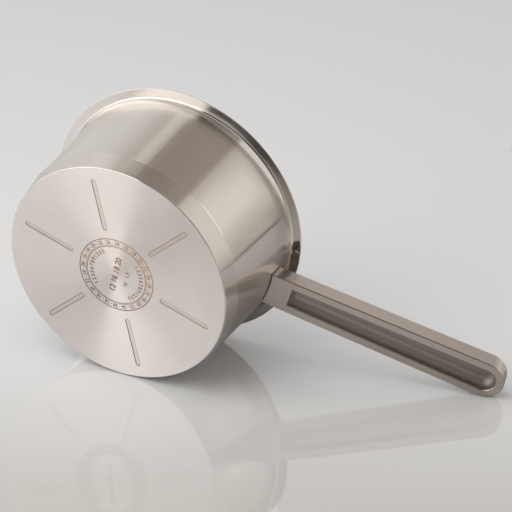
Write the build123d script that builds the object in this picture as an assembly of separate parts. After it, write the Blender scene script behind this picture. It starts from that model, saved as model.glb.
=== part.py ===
from build123d import *
import math
import os

os.makedirs("parts", exist_ok=True)

# Saucepan with a pouring rim, an encapsulated base and a welded bar handle.
# The pot stands upright. The origin is the centre of the underside of the base,
# +Z points up out of the mouth, and +X points along the handle. Lengths are in millimetres.

# Vessel: one deep-drawn steel sheet, from its bottom to the edge of the pouring rim
pot_height = 83.6
mouth_radius = 80.0
sheet_thickness = 0.8
wall_draft_angle = 2.6
rim_reach = 8.2
bottom_corner_radius = 10.5
corner_inside_share = 0.6
cove_radius = 18.0
cove_turn_angle = 18.0
neck_radius = 2.2

# Base: an aluminium disc closed in by a pressed capsule of magnetic steel
base_radius = 76.0
base_edge_radius = 0.8
capsule_height = 15.0
capsule_thickness = 0.6
capsule_lip_radius = 0.3
capsule_lip_round_share = 0.8
core_thickness = 5.0
core_lip_drop = 2.5

# Stamped marks: straight round-ended recesses in the capsule, one in line with the handle
mark_count = 6
mark_inner_reach = 32.0
mark_outer_reach = 67.5
mark_width = 3.2
mark_depth = 0.25

# Handle: a solid bar, wider at its tip, with a half-round trough along its underside
handle_drop = 23.0
handle_rise_angle = 10.6
handle_length = 163.0
handle_root_width = 24.4
handle_tip_width = 27.8
handle_thickness = 11.8
handle_top_rounding = 1.5
handle_underside_rounding = 0.6
trough_start = 15.0
trough_lip = 5.6
trough_depth = 7.5
trough_round_share = 0.85
trough_end_angle = 18.0
trough_edge_rounding = 0.8
foot_edge_rounding = 0.4

# Weld: a row of nuggets in the thin seam between the handle's foot and the wall
seam_gap = 0.3
nugget_count = 3
nugget_radius = 3.0
nugget_pitch = 7.5

# Reach of every cutting body beyond the piece that it cuts
overrun = 6.0

# Angles that the profile of the sheet turns through, and the sizes that follow from them.
# Where the base is much narrower than the mouth, the bottom corner is wider, and its centre stays inside the base.
draft = math.radians(wall_draft_angle)
cove_end = draft + math.radians(cove_turn_angle)
rim_underside_height = pot_height - sheet_thickness
rim_radius = mouth_radius + sheet_thickness + rim_reach
bottom_height = capsule_thickness + core_thickness
narrow_base_radius = mouth_radius - base_radius + corner_inside_share * bottom_corner_radius
corner_radius = max(bottom_corner_radius, narrow_base_radius)
corner_centre_height = bottom_height + corner_radius
cove_rise = cove_radius * (math.sin(cove_end) - math.sin(draft))
neck_rise = neck_radius * (1 - math.sin(cove_end))
wall_top_height = rim_underside_height - neck_rise - cove_rise
wall_top_radius = mouth_radius + sheet_thickness
wall_foot_height = corner_centre_height - corner_radius * math.sin(draft)
wall_rise = wall_top_height - wall_foot_height
wall_foot_radius = wall_top_radius - wall_rise * math.tan(draft)
corner_centre_radius = wall_foot_radius - corner_radius * math.cos(draft)


def wall_radius_at(height):
    """Outer radius of the vessel at a height between its bottom and the top of the straight wall."""
    if height >= wall_foot_height:
        return wall_foot_radius + (height - wall_foot_height) * math.tan(draft)
    fall = corner_centre_height - height
    return corner_centre_radius + math.sqrt(corner_radius**2 - fall**2)


def sheet_line(inset):
    """The vessel's profile, moved inwards from its outer face: bottom, corner, wall, cove, neck and rim."""
    bottom = Line((0, bottom_height + inset), (corner_centre_radius, bottom_height + inset))
    corner = JernArc(bottom @ 1, bottom % 1, corner_radius - inset, 90 - wall_draft_angle)
    wall = PolarLine(corner @ 1, wall_rise / math.cos(draft), direction=corner % 1)
    cove = JernArc(wall @ 1, wall % 1, cove_radius + inset, -cove_turn_angle)
    neck_turn_angle = 90 - wall_draft_angle - cove_turn_angle
    neck = JernArc(cove @ 1, cove % 1, neck_radius + inset, -neck_turn_angle)
    rim = Line(neck @ 1, (rim_radius - sheet_thickness / 2, (neck @ 1).Y))
    return [bottom, corner, wall, cove, neck, rim]


def turned(edges):
    """A solid turned about the pot's axis from a closed profile of radius and height."""
    profile = make_face(edges)
    return revolve(Plane.XZ * profile, Axis.Z)


def inside_of_sheet(inset):
    """The solid that fills the vessel up to one face of its sheet."""
    edges = sheet_line(inset)
    top = Line(edges[-1] @ 1, (0, (edges[-1] @ 1).Y))
    axis_side = Line(top @ 1, edges[0] @ 0)
    return turned(edges + [top, axis_side])


def make_vessel():
    """The drawn sheet, with the edge of its rim rolled to a half round."""
    outer = sheet_line(0)
    inner = sheet_line(sheet_thickness)
    rim_middle = (rim_radius, rim_underside_height + sheet_thickness / 2)
    rim_edge = ThreePointArc(outer[-1] @ 1, rim_middle, inner[-1] @ 1)
    axis_side = Line(outer[0] @ 0, inner[0] @ 0)
    return turned(outer + inner + [rim_edge, axis_side])


def capsule_line(inset):
    """The capsule's side, moved inwards from its outer face: foot and lip points."""
    lip_radius = wall_radius_at(capsule_height) + capsule_thickness
    return (base_radius - inset, inset), (lip_radius - inset, capsule_height)


def make_mark_cutters():
    """One flat round-ended cutter for each stamped mark."""
    length = mark_outer_reach - mark_inner_reach
    middle = (mark_outer_reach + mark_inner_reach) / 2
    outline = Pos(middle, 0, -overrun) * SlotOverall(length, mark_width)
    cutter = extrude(outline, overrun + mark_depth)
    return [Rot(0, 0, index * 360 / mark_count) * cutter for index in range(mark_count)]


def make_capsule(vessel_filling):
    """The pressed cup, with a small round at its foot and lip, and its marks stamped in from below."""
    outer_foot, outer_lip = capsule_line(0)
    inner_foot, inner_lip = capsule_line(capsule_thickness)
    points = [(0, 0), outer_foot, outer_lip, inner_lip, inner_foot, (0, capsule_thickness)]
    profile = make_face(Polyline(*points, close=True))
    foot_corner = profile.vertices().sort_by_distance(outer_foot)[0]
    profile = fillet(foot_corner, base_edge_radius)
    lip_corner = profile.vertices().sort_by_distance(outer_lip)[0]
    lip_angle = math.atan2(capsule_height, outer_lip[0] - outer_foot[0])
    widest_round = capsule_lip_round_share * capsule_thickness * math.tan(lip_angle / 2)
    profile = fillet(lip_corner, min(capsule_lip_radius, widest_round))
    cup = revolve(Plane.XZ * profile, Axis.Z)
    for cutter in make_mark_cutters():
        cup -= cutter
    return cup - vessel_filling


def make_core(vessel_filling):
    """The aluminium disc, which fills the capsule and rises a little round the vessel's corner."""
    foot, lip = capsule_line(capsule_thickness)
    core_top = capsule_height - core_lip_drop
    slope = (lip[0] - foot[0]) / (lip[1] - foot[1])
    edge = (foot[0] + (core_top - foot[1]) * slope, core_top)
    block = turned(Polyline((0, foot[1]), foot, edge, (0, core_top), close=True).edges())
    return block - vessel_filling


# Place of the handle: its underside leaves the wall at this point and rises towards the tip
handle_root_height = pot_height - handle_drop
handle_rise = math.radians(handle_rise_angle)
handle_plane = Plane(
    origin=(wall_radius_at(handle_root_height), 0, handle_root_height),
    x_dir=(math.cos(handle_rise), 0, math.sin(handle_rise)),
    z_dir=(-math.sin(handle_rise), 0, math.cos(handle_rise)),
)
tip_radius = handle_tip_width / 2
tip_centre = handle_length - tip_radius


def tapered_side(root_half, end_radius, start):
    """A straight side that runs smoothly into an arc about the tip's centre, and half of that arc's turn."""
    span = math.hypot(root_half, tip_centre)
    taper = math.asin(end_radius / span) - math.atan2(root_half, tip_centre)
    side_start = (start, root_half + start * math.tan(taper))
    side_end = (tip_centre - end_radius * math.sin(taper), end_radius * math.cos(taper))
    return Line(side_start, side_end), 90 + math.degrees(taper)


def make_bar():
    """The bar before it is cut: straight tapered sides that run into a half-round tip."""
    side, quarter = tapered_side(handle_root_width / 2, tip_radius, -overrun)
    tip = JernArc(side @ 1, side % 1, tip_radius, -2 * quarter)
    other_side = side.mirror(Plane.XZ)
    back = Line(side @ 0, other_side @ 0)
    bar = extrude(make_face([side, tip, other_side, back]), handle_thickness)
    bar = fillet(bar.faces().sort_by(Axis.Z)[-1].edges(), handle_top_rounding)
    return fillet(bar.faces().sort_by(Axis.Z)[0].edges(), handle_underside_rounding)


def make_trough_cutter():
    """A round-ended cutter as wide as the handle less its two lips, round along its top, with a sloping end."""
    start_half = handle_root_width / 2 - trough_lip
    end_radius = tip_radius - trough_lip
    side, quarter = tapered_side(start_half, end_radius, trough_start - overrun)
    end = JernArc(side @ 1, side % 1, end_radius, -2 * quarter)
    other_side = side.mirror(Plane.XZ)
    outline = make_face([side, end, other_side, Line(side @ 0, other_side @ 0)])
    cutter = Pos(0, 0, -overrun) * extrude(outline, overrun + trough_depth)
    top_edges = cutter.faces().sort_by(Axis.Z)[-1].edges().sort_by(Axis.X)[1:]
    cutter = fillet(top_edges, trough_round_share * min(start_half, trough_depth))
    slope = math.radians(trough_end_angle)
    end_wall = Plane(origin=(trough_start, 0, 0), z_dir=(math.cos(slope), 0, -math.sin(slope)))
    return split(cutter, bisect_by=end_wall, keep=Keep.TOP)


def make_handle(seam_filling):
    """The bar with its trough cut, its foot cut to the curve of the wall, and the edges of both eased."""
    bar = make_bar() - make_trough_cutter()
    mouth = bar.faces().sort_by(Axis.Z)[0].inner_wires()[0]
    bar = fillet(mouth.edges(), trough_edge_rounding)
    handle = handle_plane * bar - seam_filling
    foot = handle.faces().filter_by(GeomType.CONE).sort_by(Axis.X)[0]
    return fillet(foot.edges(), foot_edge_rounding)


def make_weld(seam_filling, vessel_filling):
    """A row of nuggets, each as thick as the seam and as curved as the wall."""
    first = -nugget_pitch * (nugget_count - 1) / 2
    nuggets = []
    for index in range(nugget_count):
        across = first + index * nugget_pitch
        lying = Plane(origin=(-overrun, across, handle_thickness / 2), z_dir=(1, 0, 0))
        rod = handle_plane * extrude(lying * Circle(nugget_radius), 2 * overrun)
        nuggets.append(((rod & seam_filling) - vessel_filling).solids()[0])
    return Compound(children=nuggets)


vessel_filling = inside_of_sheet(0)
seam_filling = inside_of_sheet(-seam_gap)

export_step(make_vessel(), "parts/vessel.step")
export_step(make_core(vessel_filling), "parts/base_core.step")
export_step(make_capsule(vessel_filling), "parts/base_capsule.step")
export_step(make_handle(seam_filling), "parts/handle.step")
export_step(make_weld(seam_filling, vessel_filling), "parts/handle_weld.step")
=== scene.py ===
import bpy
import bmesh
import math
from mathutils import Matrix, Vector


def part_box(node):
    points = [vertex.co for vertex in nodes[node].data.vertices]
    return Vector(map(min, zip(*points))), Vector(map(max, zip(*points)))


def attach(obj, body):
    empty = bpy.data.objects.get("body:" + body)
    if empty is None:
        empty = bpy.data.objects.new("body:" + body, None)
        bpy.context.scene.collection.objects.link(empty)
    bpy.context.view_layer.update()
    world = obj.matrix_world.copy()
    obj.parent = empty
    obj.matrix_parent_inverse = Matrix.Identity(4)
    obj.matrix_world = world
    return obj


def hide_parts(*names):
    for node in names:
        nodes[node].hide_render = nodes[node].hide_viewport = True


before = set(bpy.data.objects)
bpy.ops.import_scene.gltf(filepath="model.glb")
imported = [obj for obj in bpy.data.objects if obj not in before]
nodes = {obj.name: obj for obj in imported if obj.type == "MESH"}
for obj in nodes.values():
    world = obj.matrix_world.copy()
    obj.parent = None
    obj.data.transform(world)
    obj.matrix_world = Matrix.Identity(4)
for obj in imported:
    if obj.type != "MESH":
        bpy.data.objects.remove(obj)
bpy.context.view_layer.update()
mm = 0.001

# The vessel: one sheet of stainless steel, deep drawn to a round-cornered cup, with a flat pouring rim
# turned out at its top. Its wall is brushed round and round, so lights stretch along it into upright bands.
# Its rim and the top of the cove under the rim are polished.
turn_steps = 288
sheet = 0.8 * mm
mouth_radius = 80 * mm
draft = math.radians(2.6)
corner_radius = 10.5 * mm
cove_radius = 18 * mm
cove_turn = math.radians(18)
neck_radius = 2.2 * mm
polish_height = 77.7 * mm
rim_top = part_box("vessel")[1].z
rim_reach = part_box("vessel")[1].y
vessel_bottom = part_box("vessel")[0].z
same_point = 0.004 * mm
on_the_axis = 0.002 * mm
sharp_angle = math.radians(25)

# Narrow rows of faces beside each bend keep the straight parts from being shaded round.
bottom_margin = 1.5 * mm
wall_margin = 1.3 * mm
wall_margin_lean = 0.06 * mm
rim_margin = 0.5 * mm


def run_to(bm, vertex, radius, height, steps=1):
    """Draws a straight line on, from the last vertex of a profile to a radius and a height."""
    start = vertex.co.copy()
    end = Vector((radius, 0, height))
    for step in range(1, steps + 1):
        made = bmesh.ops.extrude_vert_indiv(bm, verts=[vertex])
        vertex = made["verts"][0]
        vertex.co = start.lerp(end, step / steps)
    return vertex


def last_vertex(spun):
    """The vertex that a spin of one vertex ends at."""
    return [item for item in spun["geom_last"] if isinstance(item, bmesh.types.BMVert)][0]


def turn_round(bm, vertex, centre_radius, centre_height, angle, steps):
    """Draws an arc on, from the last vertex of a profile about a centre. A positive angle turns left."""
    spun = bmesh.ops.spin(bm, geom=[vertex], cent=(centre_radius, 0, centre_height), axis=(0, -1, 0),
                          angle=angle, steps=steps, use_duplicate=False)
    return last_vertex(spun)


def turn_on_lathe(bm, profile):
    """Spins a profile once round the pot's own axis, and closes its seam and its poles."""
    edges = list({edge for vertex in profile for edge in vertex.link_edges})
    bmesh.ops.spin(bm, geom=profile + edges, cent=(0, 0, 0), axis=(0, 0, 1), angle=math.tau,
                   steps=turn_steps, use_merge=True, use_duplicate=False)
    poles = [vertex for vertex in bm.verts if math.hypot(vertex.co.x, vertex.co.y) < on_the_axis]
    bmesh.ops.remove_doubles(bm, verts=poles, dist=same_point)


def make_object(bm, name, *materials):
    """Makes an object of a finished bmesh and puts it into the scene."""
    mesh = bpy.data.meshes.new(name)
    bm.to_mesh(mesh)
    bm.free()
    for material in materials:
        mesh.materials.append(material)
    made = bpy.data.objects.new(name, mesh)
    bpy.context.scene.collection.objects.link(made)
    return made


def finish_piece(bm, name, *materials):
    """Makes a piece of a finished bmesh, smooth over its curves, and lets it ride on the pot."""
    bmesh.ops.recalc_face_normals(bm, faces=bm.faces[:])
    piece = make_object(bm, name, *materials)
    piece.data.shade_smooth()
    piece.data.set_sharp_from_angle(angle=sharp_angle)
    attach(piece, "root")
    return piece


def sheet_path(bm, vertex, inset):
    """One face of the sheet: the bottom, the corner, the wall, the cove, the neck and the rim."""
    bottom = vessel_bottom + inset
    corner = corner_radius - inset
    cove = cove_radius + inset
    neck = neck_radius + inset
    cove_end = draft + cove_turn
    rim_face = rim_top - sheet + inset
    wall_top = rim_face - neck * (1 - math.sin(cove_end)) - cove * (math.sin(cove_end) - math.sin(draft))
    wall_top_radius = mouth_radius + (sheet - inset) * math.cos(draft)
    corner_height = bottom + corner
    wall_foot = corner_height - corner * math.sin(draft)
    wall_foot_radius = wall_top_radius - (wall_top - wall_foot) * math.tan(draft)
    corner_centre = wall_foot_radius - corner * math.cos(draft)
    vertex = run_to(bm, vertex, corner_centre - bottom_margin, bottom, steps=16)
    vertex = run_to(bm, vertex, corner_centre, bottom)
    vertex = turn_round(bm, vertex, corner_centre, corner_height, math.pi / 2 - draft, steps=20)
    vertex = run_to(bm, vertex, wall_foot_radius + wall_margin_lean, wall_foot + wall_margin)
    vertex = run_to(bm, vertex, wall_top_radius - wall_margin_lean, wall_top - wall_margin, steps=12)
    vertex = run_to(bm, vertex, wall_top_radius, wall_top)
    cove_centre = wall_top_radius + cove * math.cos(draft)
    vertex = turn_round(bm, vertex, cove_centre, wall_top - cove * math.sin(draft), -cove_turn, steps=8)
    neck_centre = vertex.co.x + neck * math.cos(cove_end)
    neck_height = vertex.co.z - neck * math.sin(cove_end)
    vertex = turn_round(bm, vertex, neck_centre, neck_height, cove_end - math.pi / 2, steps=10)
    vertex = run_to(bm, vertex, vertex.co.x + rim_margin, rim_face)
    vertex = run_to(bm, vertex, rim_reach - sheet, rim_face, steps=3)
    return run_to(bm, vertex, rim_reach - sheet / 2, rim_face)


def add(tree, kind, values=(), **settings):
    """Puts a node into a tree, with its settings, and links or sets its inputs."""
    made = tree.nodes.new(kind)
    for key, value in settings.items():
        setattr(made, key, value)
    for key, value in dict(values).items():
        if isinstance(value, bpy.types.NodeSocket):
            tree.links.new(value, made.inputs[key])
        else:
            made.inputs[key].default_value = value
    return made


def number(tree, operation, *values, **settings):
    """A number that is worked out from others."""
    inputs = dict(enumerate(values))
    return add(tree, "ShaderNodeMath", inputs, operation=operation, **settings).outputs[0]


def vector(tree, operation, *values):
    """A vector that is worked out from others."""
    inputs = dict(enumerate(values))
    return add(tree, "ShaderNodeVectorMath", inputs, operation=operation).outputs["Vector"]


def measure(tree, operation, *values):
    """A number that is worked out from vectors, such as a length."""
    inputs = dict(enumerate(values))
    return add(tree, "ShaderNodeVectorMath", inputs, operation=operation).outputs["Value"]


def scaled(tree, value, factor):
    """A vector or a colour times a number."""
    inputs = {0: value, "Scale": factor}
    return add(tree, "ShaderNodeVectorMath", inputs, operation="SCALE").outputs["Vector"]


def ramp(tree, value, start, end, first=0.0, last=1.0, **settings):
    """A number that goes from first to last while a value goes from start to end."""
    inputs = {"Value": value, "From Min": start, "From Max": end, "To Min": first, "To Max": last}
    return add(tree, "ShaderNodeMapRange", inputs, **settings).outputs[0]


def mixed(tree, factor, first, second, data_type="RGBA"):
    """A colour, or a number, that is first where a factor is 0 and second where it is 1."""
    inputs = {"Factor": factor, "A": first, "B": second}
    return add(tree, "ShaderNodeMix", inputs, data_type=data_type).outputs["Result"]


def noise(tree, place, scale, detail=2.0, roughness=0.5):
    """A cloudy pattern about 0.5."""
    inputs = {"Vector": place, "Scale": scale, "Detail": detail, "Roughness": roughness}
    return add(tree, "ShaderNodeTexNoise", inputs).outputs["Fac"]


def object_place(tree):
    """The place of each point in the object's own frame, which is the pot's."""
    return add(tree, "ShaderNodeTexCoord").outputs["Object"]


def relief(tree, height, strength, distance):
    """The surface's direction, as a pattern of small heights would turn it."""
    inputs = {"Height": height, "Strength": strength, "Distance": distance}
    return add(tree, "ShaderNodeBump", inputs).outputs[0]


def new_material(name):
    """A material with an empty tree, and the tree."""
    material = bpy.data.materials.new(name)
    material.use_nodes = True
    material.node_tree.nodes.clear()
    return material, material.node_tree


def surface(tree, inputs):
    """Ends a material's tree in one surface with these inputs."""
    shader = add(tree, "ShaderNodeBsdfPrincipled", inputs)
    add(tree, "ShaderNodeOutputMaterial", {"Surface": shader.outputs[0]})


def make_ring_brushing():
    """A node group: the fine rings that an abrasive belt leaves on a turning pot, and wide clouds."""
    group = bpy.data.node_groups.new("ring brushing", "ShaderNodeTree")
    for name, value in (("Lines across", 1800.0), ("Turns around", 2.0), ("Detail", 4.0)):
        socket = group.interface.new_socket(name, in_out="INPUT", socket_type="NodeSocketFloat")
        socket.default_value = value
    group.interface.new_socket("Rings", in_out="OUTPUT", socket_type="NodeSocketFloat")
    group.interface.new_socket("Clouds", in_out="OUTPUT", socket_type="NodeSocketFloat")
    inputs = add(group, "NodeGroupInput").outputs
    place = object_place(group)
    flat = vector(group, "MULTIPLY", place, (1, 1, 0))
    around = scaled(group, vector(group, "NORMALIZE", flat), inputs["Turns around"])
    height = add(group, "ShaderNodeSeparateXYZ", {0: place}).outputs["Z"]
    across = number(group, "ADD", measure(group, "LENGTH", flat), height)
    across = number(group, "MULTIPLY", across, inputs["Lines across"])
    lift = add(group, "ShaderNodeCombineXYZ", {"Z": across}).outputs[0]
    rings = noise(group, vector(group, "ADD", around, lift), 1.0, inputs["Detail"], roughness=0.65)
    clouds = noise(group, place, 28.0, detail=3.0, roughness=0.55)
    add(group, "NodeGroupOutput", {"Rings": rings, "Clouds": clouds})
    return group


ring_brushing = make_ring_brushing()


def make_brushed_steel(name, pale, deep, roughness, spread, anisotropy, bump, metallic=1.0):
    """Stainless steel brushed in rings: its lines shift its colour, roughness and surface a little."""
    material, tree = new_material(name)
    brushing = add(tree, "ShaderNodeGroup", node_tree=ring_brushing).outputs
    cloud = ramp(tree, brushing["Clouds"], 0.3, 0.7, 0.97, 1.03)
    colour = scaled(tree, mixed(tree, brushing["Rings"], deep, pale), cloud)
    rough = ramp(tree, brushing["Rings"], 0.25, 0.75, roughness - spread, roughness + spread)
    lines = relief(tree, brushing["Rings"], strength=bump, distance=0.01 * mm)
    along = add(tree, "ShaderNodeTangent", direction_type="RADIAL", axis="Z").outputs[0]
    surface(tree, {"Base Color": colour, "Metallic": metallic, "Roughness": rough, "Anisotropic": anisotropy,
                   "Anisotropic Rotation": 0.25, "Normal": lines, "Tangent": along})
    return material


wall_steel = make_brushed_steel("brushed wall steel", (0.75, 0.713, 0.675, 1), (0.71, 0.673, 0.635, 1),
                                roughness=0.20, spread=0.012, anisotropy=1.0, bump=0.05)
rim_steel = make_brushed_steel("polished rim steel", (0.76, 0.727, 0.695, 1), (0.73, 0.697, 0.665, 1),
                               roughness=0.08, spread=0.015, anisotropy=0.3, bump=0.02)
bm = bmesh.new()
outer_end = sheet_path(bm, bm.verts.new((0, 0, vessel_bottom)), 0)
turn_round(bm, outer_end, rim_reach - sheet / 2, rim_top - sheet / 2, math.pi, steps=12)
sheet_path(bm, bm.verts.new((0, 0, vessel_bottom + sheet)), sheet)
bmesh.ops.remove_doubles(bm, verts=bm.verts[:], dist=same_point)
turn_on_lathe(bm, bm.verts[:])
for face in bm.faces:
    face.material_index = int(face.calc_center_median().z > polish_height)
vessel = finish_piece(bm, "drawn_vessel", wall_steel, rim_steel)
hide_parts("vessel")

# The core: a disc of soft aluminium that is pressed between the vessel and its capsule, to spread the heat.
# It is closed in on every side and keeps the dull grey skin that it leaves the press with.
dull, tree = new_material("pressed aluminium")
grain = noise(tree, object_place(tree), 900.0, detail=5.0, roughness=0.6)
skin = mixed(tree, grain, (0.62, 0.62, 0.63, 1), (0.78, 0.78, 0.79, 1))
rough = ramp(tree, grain, 0, 1, 0.42, 0.58)
pits = relief(tree, grain, strength=0.3, distance=0.02 * mm)
surface(tree, {"Base Color": skin, "Metallic": 1.0, "Roughness": rough, "Normal": pits})
nodes["base_core"].data.materials[0] = dull

# The capsule: a pressed cup of magnetic steel, brazed over the core. Its underside is brushed in rings. Six
# round-ended marks are stamped into it, which darken at their sloping sides, and rings, dots and plain
# numbers are etched round its centre. Its side is brushed like the wall, and its lip and foot are polished.
foot_radius = 76 * mm
foot_round = 0.8 * mm
foot_margin = 1 * mm
capsule_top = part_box("base_capsule")[1].z
capsule_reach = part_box("base_capsule")[1].y
capsule_sheet = 0.6 * mm
lip_round = ((0.3 * mm, 0), (0.19 * mm, 0.07 * mm), (0.09 * mm, 0.5 * mm))
lip_depth = 0.9 * mm
lip_margin = 0.4 * mm
mark_count = 6
mark_inner = 32 * mm
mark_outer = 67.5 * mm
mark_width = 3.2 * mm
mark_depth = 0.25 * mm
mark_slope = 0.42 * mm
round_end_steps = 12
etch_depth = 0.03 * mm
shortest_edge = 0.01 * mm
base_steel = make_brushed_steel("brushed base steel", (0.925, 0.87, 0.845, 1), (0.88, 0.826, 0.80, 1),
                                roughness=0.45, spread=0.02, anisotropy=1.0, bump=0.05, metallic=0.6)
pressed_steel = make_brushed_steel("pressed base steel", (0.815, 0.755, 0.705, 1), (0.755, 0.695, 0.645, 1),
                                   roughness=0.47, spread=0.03, anisotropy=0.9, bump=0.1, metallic=0.6)


def make_brown_steel(name, deep, pale, metallic):
    """Steel with a thin brown skin, as etching burns on, in patches, and paler towards one side of the base.
    """
    material, tree = new_material(name)
    place = object_place(tree)
    patches = noise(tree, place, 220.0, detail=3.0)
    across = measure(tree, "DOT_PRODUCT", place, (0.343, -0.94, 0))
    paler = number(tree, "SUBTRACT", ramp(tree, across, -24 * mm, 24 * mm), 0.45)
    paler = number(tree, "MULTIPLY_ADD", patches, 0.9, paler, use_clamp=True)
    brown = mixed(tree, paler, deep, pale)
    rough = ramp(tree, patches, 0, 1, 0.38, 0.55)
    surface(tree, {"Base Color": brown, "Metallic": metallic, "Roughness": rough})
    return material


etched_steel = make_brown_steel("etched brown steel", (0.085, 0.036, 0.018, 1), (0.44, 0.235, 0.10, 1), 0.15)
# The sloping sides of the marks are coloured a dark brown.
brown_mark_side = make_brown_steel("brown side of a mark", (0.17, 0.09, 0.05, 1), (0.34, 0.20, 0.12, 1), 0.3)
cup_materials = (base_steel, etched_steel, brown_mark_side, pressed_steel, wall_steel, rim_steel)


def flat_ring(bm, inner, outer):
    """Flat faces that lie on the underside, between two circles about its centre."""
    first = bm.verts.new((inner, 0, 0))
    second = bm.verts.new((outer, 0, 0))
    edge = bm.edges.new((first, second))
    old = set(bm.faces)
    bmesh.ops.spin(bm, geom=[first, second, edge], cent=(0, 0, 0), axis=(0, 0, 1), angle=math.tau,
                   steps=turn_steps // 2, use_merge=True, use_duplicate=False)
    return [face for face in bm.faces if face not in old]


def flat_stadiums(bm, inner, outer, width, count, first_angle):
    """Flat round-ended faces that lie on the underside, along as many radii, spread evenly."""
    old = set(bm.faces)
    half = width / 2
    ends = []
    for centre, turn in ((outer - half, -math.pi / 2), (inner + half, math.pi / 2)):
        first = bm.verts.new((centre + half * math.cos(turn), half * math.sin(turn), 0))
        spun = bmesh.ops.spin(bm, geom=[first], cent=(centre, 0, 0), axis=(0, 0, 1), angle=math.pi,
                              steps=round_end_steps)
        ends.append((first, last_vertex(spun)))
    bm.edges.new((ends[0][1], ends[1][0]))
    bm.edges.new((ends[1][1], ends[0][0]))
    loop = [ends[0][0]]
    while len(loop) < 2 * (round_end_steps + 1):
        beside = [edge.other_vert(loop[-1]) for edge in loop[-1].link_edges]
        loop.append([vertex for vertex in beside if vertex not in loop[-2:]][0])
    bmesh.ops.rotate(bm, verts=loop, cent=(0, 0, 0), matrix=Matrix.Rotation(first_angle, 3, "Z"))
    face = bmesh.ops.contextual_create(bm, geom=loop)["faces"][0]
    bmesh.ops.spin(bm, geom=loop + list(face.edges) + [face], cent=(0, 0, 0), axis=(0, 0, 1),
                   angle=math.tau * (count - 1) / count, steps=count - 1, use_duplicate=True)
    verts = list({vertex for face in bm.faces if face not in old for vertex in face.verts})
    bmesh.ops.remove_doubles(bm, verts=verts, dist=same_point)
    return [face for face in bm.faces if face not in old]


def flat_numbers(bm, text, height, radius, angle, direction, weight=0.08 * mm):
    """The faces of plain numbers on the underside, at a place round its centre, read from below."""
    curve = bpy.data.curves.new("numbers", "FONT")
    curve.body = text
    curve.size = height
    curve.align_x = "CENTER"
    curve.align_y = "CENTER"
    curve.resolution_u = 4
    curve.offset = weight
    writing = bpy.data.objects.new("numbers", curve)
    mesh = bpy.data.meshes.new_from_object(writing)
    old = set(bm.faces)
    bm.from_mesh(mesh)
    faces = [face for face in bm.faces if face not in old]
    verts = list({vertex for face in faces for vertex in face.verts})
    place = Matrix.Rotation(angle, 4, "Z") @ Matrix.Translation((radius, 0, 0))
    place = place @ Matrix.Rotation(direction - angle, 4, "Z") @ Matrix.Rotation(math.pi, 4, "X")
    bmesh.ops.transform(bm, verts=verts, matrix=place)
    bmesh.ops.remove_doubles(bm, verts=verts, dist=shortest_edge)
    bpy.data.objects.remove(writing)
    bpy.data.curves.remove(curve)
    bpy.data.meshes.remove(mesh)
    return [face for face in faces if face.is_valid]


def press_in(bm, faces, depth, slope, side_material, floor_material):
    """Presses flat faces into the underside. Sloping sides run inwards, and both get their material."""
    bmesh.ops.recalc_face_normals(bm, faces=faces)
    for face in faces:
        face.material_index = cup_materials.index(floor_material)
    if slope:
        made = bmesh.ops.inset_region(bm, faces=faces, thickness=slope, use_boundary=True,
                                      use_even_offset=True)
        sides = made["faces"]
    else:
        made = bmesh.ops.extrude_face_region(bm, geom=faces)
        bmesh.ops.delete(bm, geom=faces, context="FACES")
        faces = [item for item in made["geom"] if isinstance(item, bmesh.types.BMFace)]
        around = {side for face in faces for edge in face.edges for side in edge.link_faces}
        sides = around - set(faces)
    verts = list({vertex for face in faces for vertex in face.verts})
    bmesh.ops.translate(bm, verts=verts, vec=(0, 0, depth))
    for face in sides:
        face.material_index = cup_materials.index(side_material)


bm = bmesh.new()
marks = flat_stadiums(bm, mark_inner, mark_outer, mark_width, mark_count, first_angle=0)
press_in(bm, marks, mark_depth, mark_slope, brown_mark_side, pressed_steel)

# The etching: an outer row of sizes with a dot between every two, an inner row of digits on either side,
# two lines of numbers in the middle, and three rings.
reading_direction = math.radians(-95)
left = reading_direction - math.pi / 2
ring_sizes = ("16", "18", "20", "22", "26", "28")
size_count = 24
size_step = math.tau / size_count
digits = "123567891235"
digit_step = 8.5
etched = flat_stadiums(bm, inner=23.1 * mm, outer=23.8 * mm, width=0.7 * mm, count=size_count,
                       first_angle=size_step / 2)
for index in range(size_count):
    angle = math.tau * index / size_count
    text = ring_sizes[index % len(ring_sizes)]
    etched += flat_numbers(bm, text, height=3.6 * mm, radius=23.45 * mm, angle=angle,
                           direction=angle + math.pi / 2)
for index, digit in enumerate(digits):
    for side in (0, math.pi):
        from_middle = math.radians(digit_step * (index - (len(digits) - 1) / 2))
        angle = reading_direction + math.pi / 2 + side + from_middle
        etched += flat_numbers(bm, digit, height=3.9 * mm, radius=17.4 * mm, angle=angle,
                               direction=angle + math.pi / 2, weight=0.10 * mm)
etched += flat_numbers(bm, "12 16 18 20", height=5.6 * mm, radius=0.5 * mm, angle=left,
                       direction=reading_direction, weight=0.15 * mm)
etched += flat_numbers(bm, "16   1.5", height=3.9 * mm, radius=7.4 * mm, angle=left + math.pi,
                       direction=reading_direction)
for inner, outer in ((25.6 * mm, 26.2 * mm), (21.2 * mm, 21.6 * mm), (20.4 * mm, 20.8 * mm)):
    etched += flat_ring(bm, inner, outer)
press_in(bm, etched, etch_depth, 0, etched_steel, etched_steel)

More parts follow.
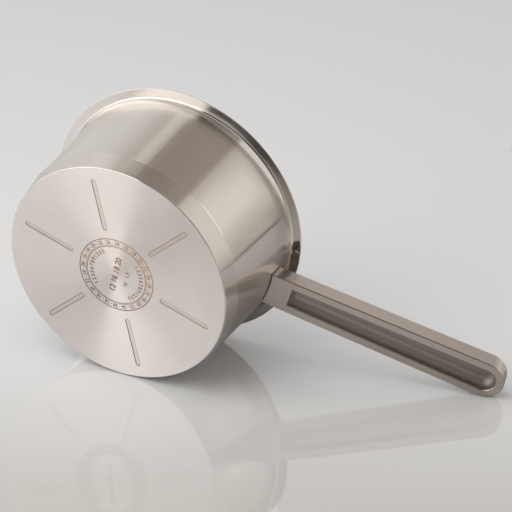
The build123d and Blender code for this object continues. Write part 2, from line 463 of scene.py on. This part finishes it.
# The cup round the pressed underside, from the middle of its inner face over the lip and the foot.
pressed = set(bm.verts)
inner_foot = foot_radius - capsule_sheet
side_lean = math.atan2(capsule_reach - foot_radius, capsule_top)
lip_end = capsule_top - lip_depth
foot_arc_radius = foot_radius - foot_round * (1 - math.sin(side_lean)) / math.cos(side_lean)
foot_arc_top = foot_round * (1 - math.sin(side_lean))
vertex = bm.verts.new((0, 0, capsule_sheet))
vertex = run_to(bm, vertex, inner_foot - foot_margin, capsule_sheet, steps=12)
vertex = run_to(bm, vertex, inner_foot, capsule_sheet)
vertex = run_to(bm, vertex, capsule_reach - capsule_sheet, capsule_top, steps=6)
for inward, below in lip_round:
    vertex = run_to(bm, vertex, capsule_reach - inward, capsule_top - below)
vertex = run_to(bm, vertex, capsule_reach - side_lean * lip_depth, lip_end)
vertex = run_to(bm, vertex, capsule_reach - side_lean * (lip_depth + lip_margin), lip_end - lip_margin)
vertex = run_to(bm, vertex, foot_arc_radius + foot_round * math.cos(side_lean), foot_arc_top, steps=8)
vertex = turn_round(bm, vertex, foot_arc_radius, foot_round, -side_lean - math.pi / 2, steps=10)
run_to(bm, vertex, foot_arc_radius - foot_margin, 0, steps=2)
turn_on_lathe(bm, [vertex for vertex in bm.verts if vertex not in pressed])
open_edges = [edge for edge in bm.edges if edge.is_boundary]
bmesh.ops.triangle_fill(bm, use_beauty=True, edges=open_edges, normal=(0, 0, -1))
bmesh.ops.delete(bm, geom=[edge for edge in bm.edges if edge.is_wire], context="EDGES")
for face in bm.faces:
    middle = face.calc_center_median()
    if middle.xy.length > foot_arc_radius:
        material = wall_steel if foot_round < middle.z < lip_end else rim_steel
        face.material_index = cup_materials.index(material)
capsule = finish_piece(bm, "base_cup", *cup_materials)
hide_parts("base_capsule")

# The handle: one solid steel bar with a fine matt skin, round at its tip, with a trough along its underside
# that keeps it light and cool. Its foot is cut to the curve of the wall. The trough keeps a rougher, browner
# skin than the rest, which is painted darker too with shade, its eased edges are worn smooth, and the sides
# beside the wall are polished.
handle_root = Vector((80.11, 0, 60.6)) * mm
handle_rise = math.radians(10.6)
underside_direction = (math.sin(handle_rise), 0, -math.cos(handle_rise))
edge_height = 0.85 * mm
trough_height = 7.8 * mm
trough_half_width = 9.4 * mm
trough_start = 12 * mm
tip_start = 142 * mm
white = (1, 1, 1, 1)
matt, tree = new_material("matt handle steel")


def less(tree, value, limit):
    """1 where a value is less than a limit, and 0 elsewhere."""
    return number(tree, "LESS_THAN", value, limit)


def more(tree, value, limit):
    """1 where a value is more than a limit, and 0 elsewhere."""
    return number(tree, "GREATER_THAN", value, limit)


def all_of(tree, *masks):
    """The product of masks that run from 0 to 1."""
    product = masks[0]
    for mask in masks[1:]:
        product = number(tree, "MULTIPLY", product, mask)
    return product


def soft_ramp(tree, value, start, end):
    """A number that goes gently from 0 to 1 while a value goes from start to end."""
    return ramp(tree, value, start, end, interpolation_type="SMOOTHSTEP")


place = object_place(tree)
own_frame = {"Vector": place, "Location": handle_root, "Rotation": (0, -handle_rise, 0)}
own = add(tree, "ShaderNodeMapping", own_frame, vector_type="TEXTURE").outputs[0]
along, sideways, height = add(tree, "ShaderNodeSeparateXYZ", {"Vector": own}).outputs
aside = number(tree, "ABSOLUTE", sideways)
normal = add(tree, "ShaderNodeNewGeometry").outputs["Normal"]
facing = measure(tree, "DOT_PRODUCT", normal, underside_direction)
edge = all_of(tree, less(tree, height, edge_height), less(tree, facing, 0.985))
trough = all_of(tree, more(tree, height, edge_height), less(tree, height, trough_height),
                less(tree, aside, trough_half_width), more(tree, along, trough_start))
near_root = all_of(tree, soft_ramp(tree, along, 18 * mm, 10 * mm), less(tree, facing, 0.5))
grain = noise(tree, vector(tree, "MULTIPLY", own, (90, 1800, 1800)), 1.0, detail=4.0, roughness=0.6)
clouds = noise(tree, place, 40.0, detail=3.0)

# Its colour: matt skin and a browner trough, with painted shade in the trough, towards the tip, on the
# underside and on the lower lip, and a painted dark reflection along the upper edge.
skin = mixed(tree, grain, (0.552, 0.502, 0.472, 1), (0.60, 0.55, 0.52, 1))
# The trough: its browner skin, and painted shade in the recess.
trough_skin_and_shade = mixed(tree, grain, (0.45, 0.403, 0.368, 1), (0.51, 0.46, 0.42, 1))
skin = mixed(tree, trough, skin, trough_skin_and_shade)
# Painted shade: the skin darkens towards the tip.
skin = scaled(tree, skin, ramp(tree, along, 20 * mm, 140 * mm, 1.06, 0.84))
# Painted shade: the underside is darker than the sides.
underside = ramp(tree, facing, 0.975, 0.99)
skin = vector(tree, "MULTIPLY", skin, mixed(tree, underside, white, (0.88, 0.86, 0.83, 1)))
# Painted shade: the lower lip, the side nearer the floor, is darker.
lower_lip_painted_shade = all_of(tree, ramp(tree, sideways, 7 * mm, 10 * mm), ramp(tree, along, 45 * mm, 85 * mm))
skin = vector(tree, "MULTIPLY", skin, mixed(tree, lower_lip_painted_shade, white, (0.82, 0.80, 0.78, 1)))
# A painted dark reflection: a thin dark line along the upper edge, short of the tip.
upper_edge_dark_reflection = all_of(tree, edge, less(tree, along, tip_start), less(tree, sideways, 0))
skin = mixed(tree, upper_edge_dark_reflection, skin, (0.42, 0.37, 0.335, 1))

# Its gloss: matt skin, polished sides beside the wall, rough trough and smooth edges.
metallic = ramp(tree, number(tree, "MAXIMUM", trough, edge), 0, 1, 0.45, 1.0)
metallic = mixed(tree, near_root, metallic, 0.85, data_type="FLOAT")
rough = ramp(tree, clouds, 0, 1, 0.29, 0.35)
for mask, value in ((near_root, 0.17), (trough, 0.52), (edge, 0.16)):
    rough = mixed(tree, mask, rough, value, data_type="FLOAT")
lines = relief(tree, grain, strength=0.1, distance=0.01 * mm)
surface(tree, {"Base Color": skin, "Metallic": metallic, "Roughness": rough, "Normal": lines})
nodes["handle"].data.materials[0] = matt

# The weld: a row of nuggets, where the foot of the handle was fused to the wall by a current through both.
# Little of it shows, in the thin dark seam round the foot.
weld, tree = new_material("weld steel")
scale = noise(tree, object_place(tree), 600.0, detail=4.0)
skin = mixed(tree, scale, (0.30, 0.25, 0.22, 1), (0.52, 0.46, 0.42, 1))
rough = ramp(tree, scale, 0, 1, 0.45, 0.65)
surface(tree, {"Base Color": skin, "Metallic": 1.0, "Roughness": rough})
nodes["handle_weld"].data.materials[0] = weld

# The floor: a plain pale sheet that the pot lies on, touched by its capsule, its rim and the handle's tip.
# It shows from above only, so that it hides nothing when the pot is looked at from below. Painted shade
# darkens it towards the camera and far to the right, and a painted shadow darkens what the steel mirrors of
# it beside the pot.
away = Vector((0.33194, 0.93120, -0.15063)).normalized()
floor_distance = 75.45 * mm
floor_size = 2.5
view = Vector((-0.1701, 0.6343, 0.7542)).normalized()
up = -away
forward = (view - up * view.dot(up)).normalized()
right = forward.cross(up)


def lying_along(first, second, third):
    """The turn that lays X, Y and Z along three directions."""
    return Matrix((first, second, third)).transposed().to_4x4()


bm = bmesh.new()
bmesh.ops.create_grid(bm, x_segments=1, y_segments=1, size=floor_size)
bmesh.ops.transform(bm, verts=bm.verts[:], matrix=lying_along(right, forward, up))
bmesh.ops.translate(bm, verts=bm.verts[:], vec=away * floor_distance)
pale, tree = new_material("pale floor")
place = object_place(tree)
mirrored = add(tree, "ShaderNodeLightPath").outputs["Is Glossy Ray"]
# Painted shade: darker towards the camera and far to the right, and a painted shadow in an oval beside the
# pot that only the steel mirrors.
ahead = measure(tree, "DOT_PRODUCT", place, forward)
near_painted_shade = soft_ramp(tree, ahead, 0.10, -0.22)
beside = measure(tree, "DOT_PRODUCT", place, right - forward * 0.09)
far_right_painted_shade = soft_ramp(tree, number(tree, "MULTIPLY_ADD", mirrored, 0.05, beside), 0.255, 0.34)
slanted = measure(tree, "DOT_PRODUCT", place, right - forward * 0.3)
oval = {"X": ramp(tree, slanted, 0.045, 0.235, -1.0, 1.0, clamp=False),
        "Y": ramp(tree, ahead, 0.005, 0.165, -1.0, 1.0, clamp=False)}
from_oval = measure(tree, "LENGTH", add(tree, "ShaderNodeCombineXYZ", oval).outputs[0])
shade = all_of(tree, soft_ramp(tree, from_oval, 1.25, 0.75), mirrored)
tone = mixed(tree, near_painted_shade, (0.735, 0.752, 0.772, 1), (0.503, 0.495, 0.48, 1))
tone = mixed(tree, far_right_painted_shade, tone, (0.325, 0.315, 0.305, 1))
tone = mixed(tree, shade, tone, (0.21, 0.195, 0.19, 1))
satin = add(tree, "ShaderNodeBsdfPrincipled", {"Base Color": tone, "Roughness": 0.02, "IOR": 1.95})
nothing = add(tree, "ShaderNodeBsdfTransparent")
behind = add(tree, "ShaderNodeNewGeometry").outputs["Backfacing"]
either = add(tree, "ShaderNodeMixShader", {0: behind, 1: satin.outputs[0], 2: nothing.outputs[0]})
add(tree, "ShaderNodeOutputMaterial", {"Surface": either.outputs[0]})
floor = make_object(bm, "floor", pale)

# The strip: a long dark sheet that lies on the floor on the right, where the camera doesn't see it. It
# stands for shade that the wall mirrors, as one thin painted dark line, and it neither dims the floor nor
# throws a shadow on it.
strip_shape = (0.8, 0.07, 1)
along_strip = (right * 0.85 - forward * 0.52).normalized()
strip_place = away * (floor_distance - 1 * mm) + right * 0.65 + forward * 0.258
bm = bmesh.new()
bmesh.ops.create_grid(bm, x_segments=1, y_segments=1, size=0.5)
bmesh.ops.scale(bm, verts=bm.verts[:], vec=strip_shape)
bmesh.ops.transform(bm, verts=bm.verts[:], matrix=lying_along(along_strip, up.cross(along_strip), up))
bmesh.ops.translate(bm, verts=bm.verts[:], vec=strip_place)
black, tree = new_material("black sheet of painted shade")
sheet_speckle = noise(tree, object_place(tree), 800.0)
dark = mixed(tree, sheet_speckle, (0.01, 0.01, 0.01, 1), (0.03, 0.03, 0.03, 1))
surface(tree, {"Base Color": dark, "Roughness": 0.9})
strip = make_object(bm, "dark_strip", black)
strip.visible_camera = False
strip.visible_diffuse = False
strip.visible_shadow = False

# The camera: it stands where the photograph was taken from, low in front of the base, with a long lens
# that shows the pot with little perspective.
camera_place = (0.2952, -0.8772, -0.9597)
camera_data = bpy.data.cameras.new("camera")
camera_data.lens = 149.7
camera_data.sensor_width = 36
camera_data.clip_start = 0.05
camera = bpy.data.objects.new("camera", camera_data)
bpy.context.scene.collection.objects.link(camera)
across = Vector((0.8555, -0.2848, 0.4325))
across = (across - view * across.dot(view)).normalized()
camera.matrix_world = Matrix.Translation(camera_place) @ lying_along(across, across.cross(view), -view)
bpy.context.scene.camera = camera
bpy.context.scene.view_settings.view_transform = "Standard"

# The light: a studio of large soft panels, pale at the back and dark overhead, which the steel mirrors as
# bands. The camera itself sees an even grey beyond the floor, and one soft lamp lights the floor.
world = bpy.data.worlds.new("studio")
bpy.context.scene.world = world
world.use_nodes = True
tree = world.node_tree
tree.nodes.clear()
ray = add(tree, "ShaderNodeTexCoord").outputs["Generated"]


def beyond(axis, edge, softness):
    """1 where a direction reaches beyond an edge along an axis and 0 where it doesn't, with a soft step."""
    reach = measure(tree, "DOT_PRODUCT", ray, axis)
    return soft_ramp(tree, reach, edge - softness, edge + softness)


def round_the_pot(degrees):
    """The direction that the brushing runs in, on the wall at an angle round the pot."""
    return (-math.sin(math.radians(degrees)), math.cos(math.radians(degrees)), 0)


def toward(azimuth, elevation):
    """A direction from its angles: azimuth to the right of the view, elevation above the floor."""
    level = forward * math.cos(math.radians(azimuth)) + right * math.sin(math.radians(azimuth))
    return level * math.cos(math.radians(elevation)) + up * math.sin(math.radians(elevation))


back_side = beyond((0, 0, 1), 0.0, 0.1)
front_side = beyond((0, 0, -1), 0.0, 0.1)
overhead = beyond(up, 0.90, 0.08)
right_panel = all_of(tree, beyond(round_the_pot(-73), -0.02, 0.035), beyond(toward(97, 18), 0.77, 0.14),
                     beyond(up - forward * 0.35, -0.087, 0.22))
left_panel = beyond(toward(-85, 20), 0.86, 0.08)
behind_camera = beyond(toward(172, 10), 0.90, 0.05)
high_behind_camera = beyond(toward(-158, 36), 0.93, 0.04)
wide_stripe = all_of(tree, back_side, beyond(round_the_pot(83), 0.300, 0.014), beyond(-up, -0.895, 0.03))
low_stripe = all_of(tree, back_side, beyond(round_the_pot(81), 0.322, 0.012), beyond(-up, -0.81, 0.08))
grey_stripe = all_of(tree, back_side, beyond(round_the_pot(77), 0.368, 0.016))
back_panel = all_of(tree, back_side, beyond(round_the_pot(64), 0.489, 0.07))
back_spot = all_of(tree, back_side, beyond(toward(-32, 45), 0.98, 0.014))
left_front = all_of(tree, front_side, beyond(round_the_pot(85), 0.275, 0.045))
left_lamp = all_of(tree, left_front, beyond(toward(-122, 5), 0.80, 0.10))
small_lamp = beyond(toward(45, 12), 0.985, 0.006)
far_end = beyond(toward(0, 18), 0.955, 0.02)
seen = add(tree, "ShaderNodeLightPath").outputs["Is Camera Ray"]

# Each panel covers those before it.
light = (0.37, 0.325, 0.28, 1)
for mask, colour in ((overhead, (0.24, 0.208, 0.178)),
                     (front_side, (0.60, 0.575, 0.56)),
                     (right_panel, (0.84, 0.80, 0.75)),
                     (left_panel, (1.6, 1.57, 1.52)),
                     (behind_camera, (0.05, 0.046, 0.045)),
                     (high_behind_camera, (0.05, 0.046, 0.043)),
                     (wide_stripe, (0.66, 0.625, 0.58)),
                     (low_stripe, (0.86, 0.825, 0.78)),
                     (grey_stripe, (0.59, 0.56, 0.52)),
                     (back_panel, (0.80, 0.785, 0.76)),
                     (back_spot, (0.90, 0.88, 0.85)),
                     (left_front, (0.95, 0.93, 0.90)),
                     (left_lamp, (1.75, 1.71, 1.65)),
                     (small_lamp, (2.4, 2.35, 2.25)),
                     (far_end, (0.66, 0.665, 0.67)),
                     (seen, (0.645, 0.645, 0.645))):
    light = mixed(tree, mask, light, (*colour, 1))
glow = add(tree, "ShaderNodeBackground", {"Color": light, "Strength": 1.0})
add(tree, "ShaderNodeOutputWorld", {"Surface": glow.outputs[0]})

lamp_size = 1.4
lamp_place = up * 0.9 - right * 0.5 - forward * 0.35
lamp_data = bpy.data.lights.new("floor lamp", "AREA")
lamp_data.shape = "RECTANGLE"
lamp_data.size = lamp_size
lamp_data.size_y = lamp_size
lamp_data.energy = 8.9
lamp_data.color = (1.0, 0.985, 0.96)
lamp = bpy.data.objects.new("floor lamp", lamp_data)
bpy.context.scene.collection.objects.link(lamp)
lamp.location = lamp_place
lamp.rotation_euler = lamp_place.to_track_quat("Z", "Y").to_euler()
lamp.visible_glossy = False
lamp.visible_camera = False
